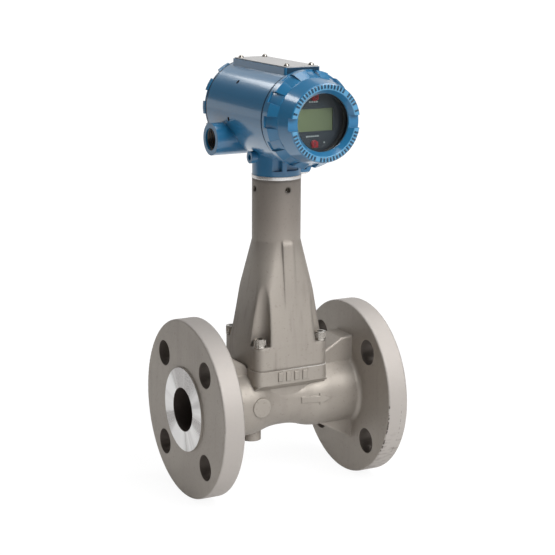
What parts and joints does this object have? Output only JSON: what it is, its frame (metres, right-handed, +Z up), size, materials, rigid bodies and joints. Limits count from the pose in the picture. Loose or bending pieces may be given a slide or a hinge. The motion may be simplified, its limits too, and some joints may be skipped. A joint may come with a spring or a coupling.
{
  "type": "vortex flow meter",
  "caption": "Flanged vortex flow meter with a cast body, a fluted support tube and a swivelling electronics housing with a windowed display cover.",
  "frame": {"origin": "centre of the inlet flange's raised face, on the pipe's axis", "axes": "+X along the pipe with the flow, +Z up along the support tube, -Y the way the display faces"},
  "size_m": [0.18, 0.1619, 0.3734],
  "materials": {
    "cast_steel": "bead-blasted cast stainless steel",
    "bright_steel": "bright turned stainless steel",
    "blue_enamel": "gloss polyurethane enamel on cast aluminium",
    "plate_steel": "satin stainless sheet",
    "black_plastic": "moulded black plastic",
    "red_plastic": "moulded red plastic",
    "panel_glass": "unlit liquid crystal panel",
    "window_glass": "clear flat glass",
    "board": "glass fibre laminate with solder mask",
    "rubber": "moulded nitrile rubber",
    "cable_jacket": "smooth cable jacket",
    "terminal_plastic": "moulded terminal plastic",
    "plated_brass": "nickel-plated brass"
  },
  "bodies": {
    "meter": {"meter_body": "cast_steel", "shedder_bar": "bright_steel", "flexure_post": "bright_steel", "vortex_sensor": "bright_steel", "sensor_nut": "bright_steel", "sensor_cable": "cable_jacket", "support_tube": "cast_steel", "lock_washers": "bright_steel", "cap_screws": "bright_steel"},
    "housing": {"housing": "blue_enamel", "housing_lock_screws": "bright_steel", "neck_o_ring": "rubber", "sensor_plug": "black_plastic", "top_plate": "plate_steel", "plate_screws": "bright_steel", "alarm_jumper": "red_plastic", "security_jumper": "red_plastic", "display_module": "black_plastic", "display_panel": "panel_glass", "display_connector": "black_plastic", "upper_circuit_board": "board", "lower_circuit_board": "board", "board_standoffs": "plated_brass", "terminal_block": "terminal_plastic", "terminal_screws": "plated_brass", "terminal_block_screws": "bright_steel", "conduit_plug": "bright_steel"},
    "front_cover_seal": {"front_cover_seal": "rubber"},
    "front_cover": {"front_cover": "blue_enamel", "glass_gasket": "rubber", "cover_glass": "window_glass", "glass_retaining_ring": "plate_steel"},
    "rear_cover_seal": {"rear_cover_seal": "rubber"},
    "rear_cover": {"rear_cover": "blue_enamel"}
  },
  "joints": [
    {"name": "housing_swivel", "type": "hinge", "parent": "meter", "child": "housing", "pos_m": [0.09, 0, 0.195], "axis": [0, 0, 1], "range_deg": [-180, 180]},
    {"name": "front_cover_travel", "type": "slide", "parent": "housing", "child": "front_cover_seal", "axis": [0, -1, 0], "range_m": [0, 0.01201]},
    {"name": "front_cover_turn", "type": "hinge", "parent": "front_cover_seal", "child": "front_cover", "pos_m": [0.09, -0.0492, 0.2509], "axis": [0, -1, 0], "range_deg": [0, 2880]},
    {"name": "rear_cover_travel", "type": "slide", "parent": "housing", "child": "rear_cover_seal", "axis": [0, 1, 0], "range_m": [0, 0.01201]},
    {"name": "rear_cover_turn", "type": "hinge", "parent": "rear_cover_seal", "child": "rear_cover", "pos_m": [0.09, 0.057, 0.2509], "axis": [0, 1, 0], "range_deg": [0, 2880]}
  ],
  "couplings": [
    {"joint": "front_cover_travel", "follows": "front_cover_turn", "m_per_rad": 0.00023873},
    {"joint": "rear_cover_travel", "follows": "rear_cover_turn", "m_per_rad": 0.00023873}
  ]
}
